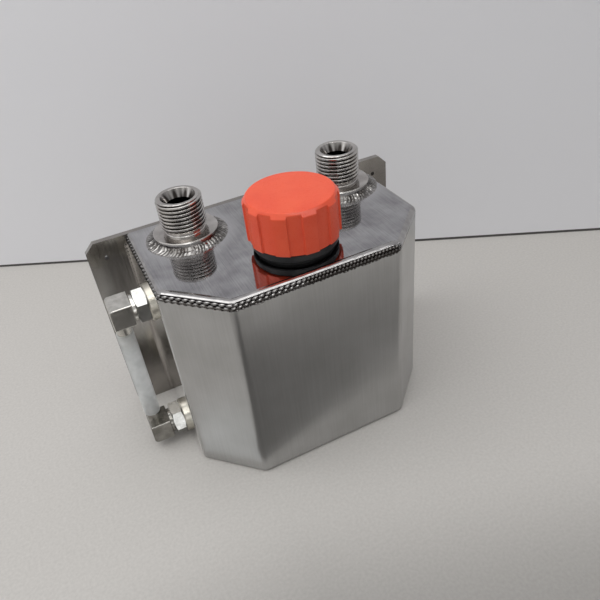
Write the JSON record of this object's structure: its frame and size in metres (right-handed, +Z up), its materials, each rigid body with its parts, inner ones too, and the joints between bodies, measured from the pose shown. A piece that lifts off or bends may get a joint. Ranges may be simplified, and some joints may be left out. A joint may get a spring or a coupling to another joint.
{
  "type": "oil catch can",
  "caption": "Chamfered welded sheet oil catch can with threaded breather unions, an orange screw filler cap, a side sight gauge and a back plate with mounting ears.",
  "frame": {"origin": "centre of the overall footprint, on the surface that the base stands on", "axes": "+X to the right seen from the front, +Y from the front to the mounting plate, +Z up along the unions"},
  "size_m": [0.1648, 0.0848, 0.128],
  "materials": {
    "polished_sheet": "polished sheet with fine brushing",
    "weld_bead": "rippled weld",
    "turned_alloy": "turned",
    "black_plastic": "moulded",
    "black_rubber": "matt",
    "orange_plastic": "moulded, fine satin",
    "nickel_plate": "bright plate on brass",
    "bright_zinc": "bright plate",
    "yellow_zinc": "yellow plate",
    "milky_tube": "translucent"
  },
  "bodies": {
    "can": {"body_shell": "polished_sheet", "base_plate": "polished_sheet", "top_plate": "polished_sheet", "back_plate": "polished_sheet", "baffle_plate": "polished_sheet", "top_seam_weld": "weld_bead", "left_seam_weld": "weld_bead", "right_seam_weld": "weld_bead", "inlet_weld": "weld_bead", "outlet_weld": "weld_bead", "inlet_fitting": "turned_alloy", "outlet_fitting": "turned_alloy", "neck_bung": "turned_alloy", "upper_boss": "turned_alloy", "lower_boss": "turned_alloy", "filler_neck": "black_plastic", "neck_seal": "black_rubber", "upper_elbow": "nickel_plate", "lower_elbow": "nickel_plate", "upper_lock_nut": "bright_zinc", "lower_lock_nut": "bright_zinc", "upper_seal_washer": "yellow_zinc", "lower_seal_washer": "yellow_zinc", "sight_tube": "milky_tube"},
    "liner": {"cap_liner": "black_rubber"},
    "cap": {"filler_cap": "orange_plastic"}
  },
  "joints": [
    {"name": "cap_lift", "type": "slide", "parent": "can", "child": "liner", "axis": [0, 0, 1], "range_m": [0, 0.01]},
    {"name": "cap_turn", "type": "hinge", "parent": "liner", "child": "cap", "pos_m": [0.0019, -0.01478, 0.123], "axis": [0, 0, 1], "range_deg": [0, 900]}
  ],
  "couplings": [
    {"joint": "cap_lift", "follows": "cap_turn", "m_per_rad": 0.00063662}
  ]
}
